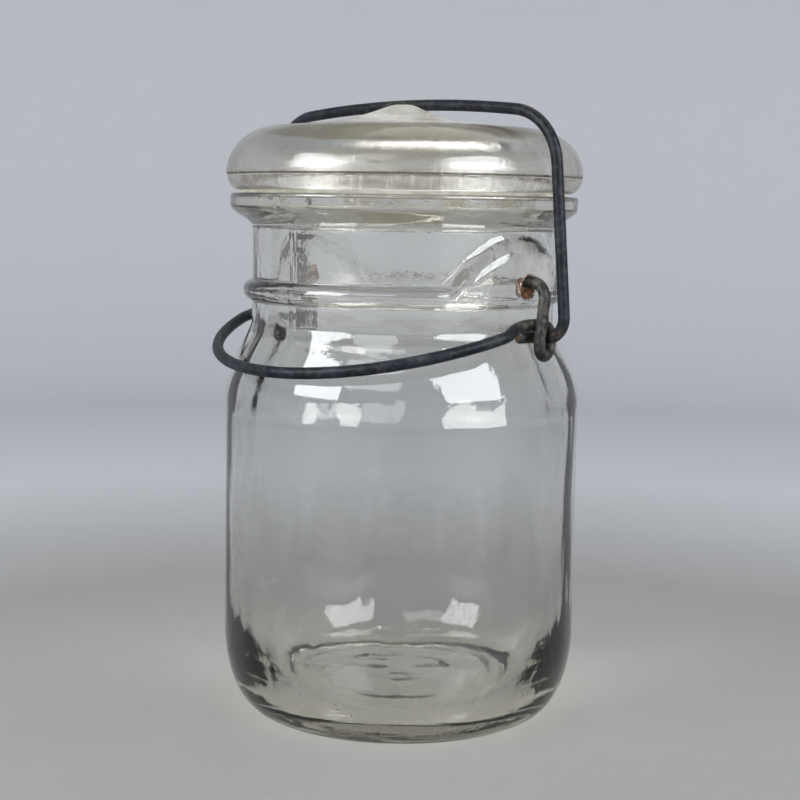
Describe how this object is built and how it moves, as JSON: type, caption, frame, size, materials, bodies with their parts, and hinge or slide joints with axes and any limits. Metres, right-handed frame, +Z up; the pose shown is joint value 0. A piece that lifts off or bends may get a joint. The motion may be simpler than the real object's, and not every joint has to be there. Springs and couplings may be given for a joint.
{
  "type": "wire-bail storage jar",
  "caption": "Clear glass pint jar with a round glass lid, a rubber seal ring, a wire bail over the lid and a wire lever that clamps it.",
  "frame": {"origin": "centre of the base, on the plane of the contact ring that the jar stands on", "axes": "+Z up along the jar's axis; the lever turns about the X direction, its handle reaches towards -Y, and the bail swings back towards +Y"},
  "size_m": [0.0958, 0.0851, 0.1423],
  "materials": {
    "jar_glass": "old pressed clear glass, smooth, slightly wavy",
    "lid_glass": "old pressed clear glass, faint straw tint",
    "seal_rubber": "matt, pale, aged",
    "lever_steel": "weathered dark wire with rust specks",
    "bail_steel": "weathered dark wire with rust specks"
  },
  "bodies": {
    "jar_body": {"jar": "jar_glass", "seal_ring": "seal_rubber"},
    "lid_body": {"lid": "lid_glass"},
    "lever": {"lever_wire": "lever_steel"},
    "bail": {"bail_wire": "bail_steel"}
  },
  "joints": [
    {"name": "lever_swing", "type": "hinge", "parent": "jar_body", "child": "lever", "pos_m": [0, 0, 0.102], "axis": [-1, 0, 0], "range_deg": [0, 50]},
    {"name": "bail_swing", "type": "hinge", "parent": "lever", "child": "bail", "pos_m": [0, 0.0009, 0.08993], "axis": [-1, 0, 0], "range_deg": [-27.5, 0]},
    {"name": "lid_turn", "type": "hinge", "parent": "jar_body", "child": "lid_body", "pos_m": [0, 0, 0.125], "axis": [0, 0, 1], "range_deg": [-3, 3]}
  ],
  "couplings": [
    {"joint": "bail_swing", "follows": "lever_swing", "ratio": -0.55}
  ]
}
